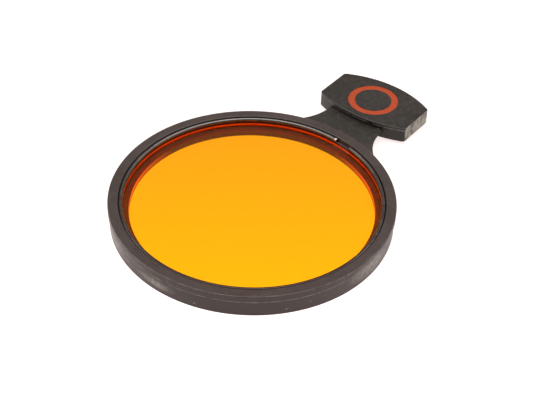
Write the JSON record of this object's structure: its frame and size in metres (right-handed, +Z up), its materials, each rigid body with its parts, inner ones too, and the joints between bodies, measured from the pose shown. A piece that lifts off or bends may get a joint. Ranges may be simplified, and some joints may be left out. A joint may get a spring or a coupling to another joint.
{
  "type": "drop-in safelight filter",
  "caption": "Orange glass safelight filter disc held in a black moulded ring by a split wire ring, with a flat barrel-shaped finger grip on a short waisted neck.",
  "frame": {"origin": "on the ring's axis at its underside, the centre of the light aperture's lower edge", "axes": "+Z up along the ring's axis, out of the side with the snap ring; +Y along the neck towards the finger grip; +X to the right of the grip seen from above"},
  "size_m": [0.07, 0.0975, 0.006],
  "materials": {
    "black_moulding": "satin black moulding, fine grain, rubbed edges",
    "orange_glass": "polished, coloured through",
    "spring_wire": "blackened spring wire, drawn",
    "mark_paint": "orange-red paint fill"
  },
  "bodies": {
    "filter_holder": {"holder": "black_moulding", "colour_mark": "mark_paint"},
    "glass": {"filter_glass": "orange_glass"},
    "retaining_ring": {"snap_ring": "spring_wire"}
  },
  "joints": [
    {"name": "glass_lift", "type": "slide", "parent": "filter_holder", "child": "glass", "axis": [0, 0, 1], "range_m": [0, 0.01]},
    {"name": "snap_ring_lift", "type": "slide", "parent": "filter_holder", "child": "retaining_ring", "axis": [0, 0, 1], "range_m": [0, 0.02]}
  ],
  "couplings": [
    {"joint": "snap_ring_lift", "follows": "glass_lift", "ratio": 2}
  ]
}
